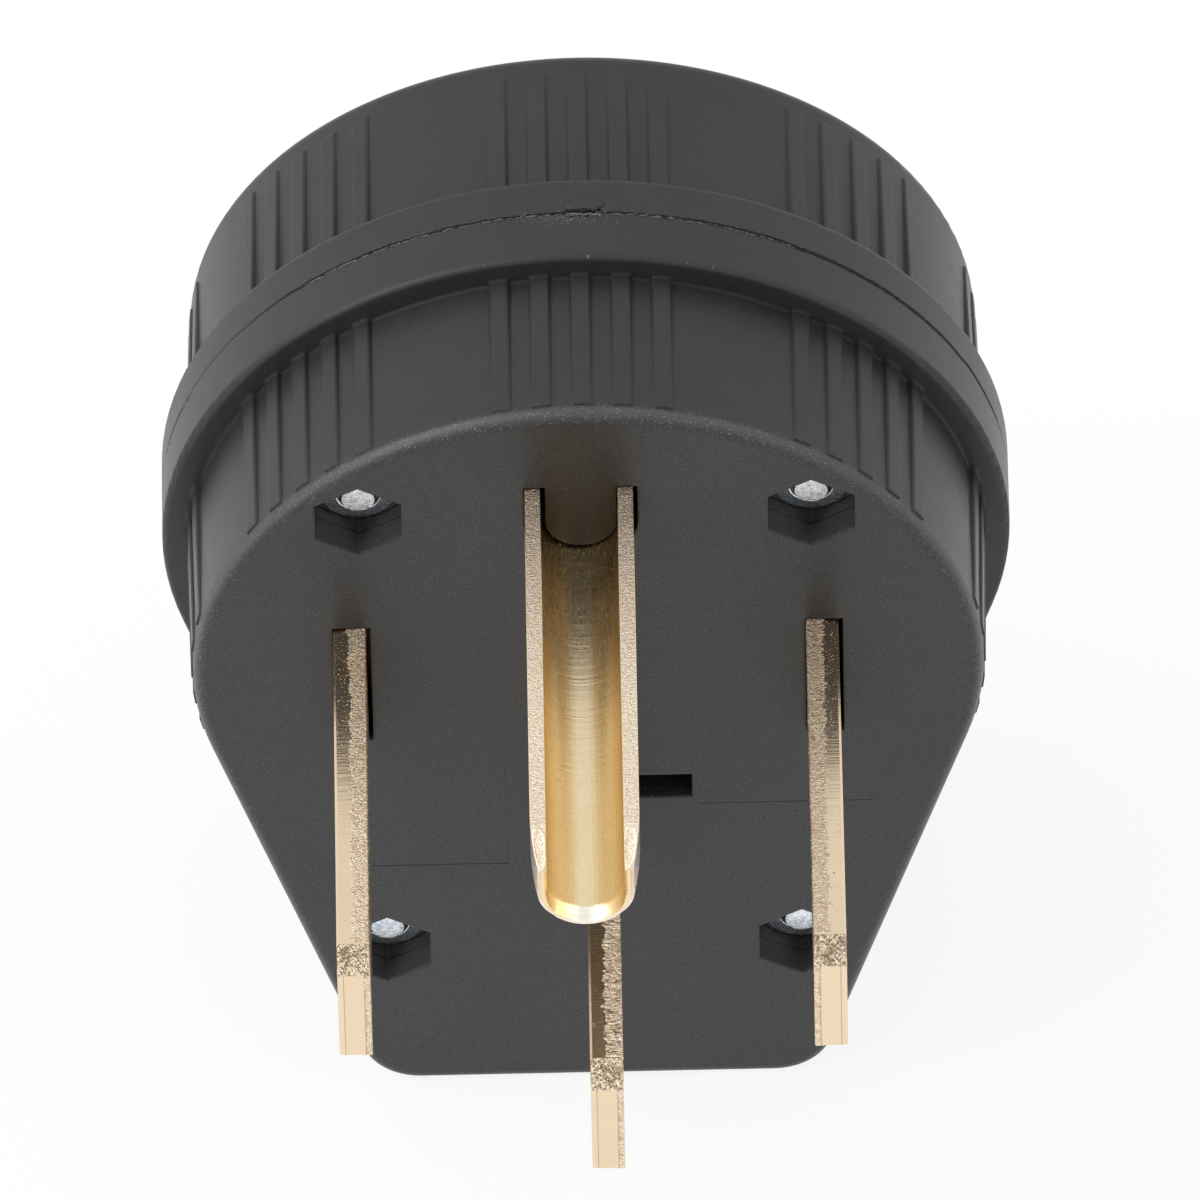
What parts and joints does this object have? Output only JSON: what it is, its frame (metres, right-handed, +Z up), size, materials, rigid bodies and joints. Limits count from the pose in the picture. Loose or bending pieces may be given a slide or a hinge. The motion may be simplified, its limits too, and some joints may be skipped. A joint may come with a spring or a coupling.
{
  "type": "angled power plug",
  "caption": "Rewireable right-angle power plug: black ribbed two-shell housing with a belt at its seam, flat brass blades, a U-shaped ground pin and a cord exit in the flat lower end.",
  "frame": {"origin": "centre of the round crown's circle, on the mating face", "axes": "-Y out of the mating face along the prongs, +X to the right of someone who looks at that face, +Z up to the crown and away from the cord exit"},
  "size_m": [0.0558, 0.0632, 0.0695],
  "materials": {
    "housing_plastic": "fine sparked grain, matte black",
    "insulator_plastic": "moulded, satin dark grey",
    "prong_brass": "stamped strip with sheared edges",
    "terminal_steel": "zinc plated, slightly yellow",
    "zinc_steel": "bright zinc plate",
    "bush_rubber": "smooth black rubber"
  },
  "bodies": {
    "root": {"blade_retainer": "insulator_plastic", "cable_bush": "bush_rubber", "clamp_plate_ground": "terminal_steel", "clamp_plate_hot_left": "terminal_steel", "clamp_plate_hot_right": "terminal_steel", "clamp_plate_neutral": "terminal_steel", "clamp_screw_1": "zinc_steel", "clamp_screw_2": "zinc_steel", "cord_clamp": "zinc_steel", "front_housing": "housing_plastic", "ground_pin": "prong_brass", "hot_blade_left": "prong_brass", "hot_blade_right": "prong_brass", "housing_nut_1": "zinc_steel", "housing_nut_2": "zinc_steel", "housing_nut_3": "zinc_steel", "housing_nut_4": "zinc_steel", "housing_screw_1": "zinc_steel", "housing_screw_2": "zinc_steel", "housing_screw_3": "zinc_steel", "housing_screw_4": "zinc_steel", "neutral_blade": "prong_brass", "rear_cover": "housing_plastic", "retainer_screw_1": "zinc_steel", "retainer_screw_2": "zinc_steel", "terminal_screw_ground": "terminal_steel", "terminal_screw_hot_left": "terminal_steel", "terminal_screw_hot_right": "terminal_steel", "terminal_screw_neutral": "terminal_steel"}
  },
  "joints": []
}
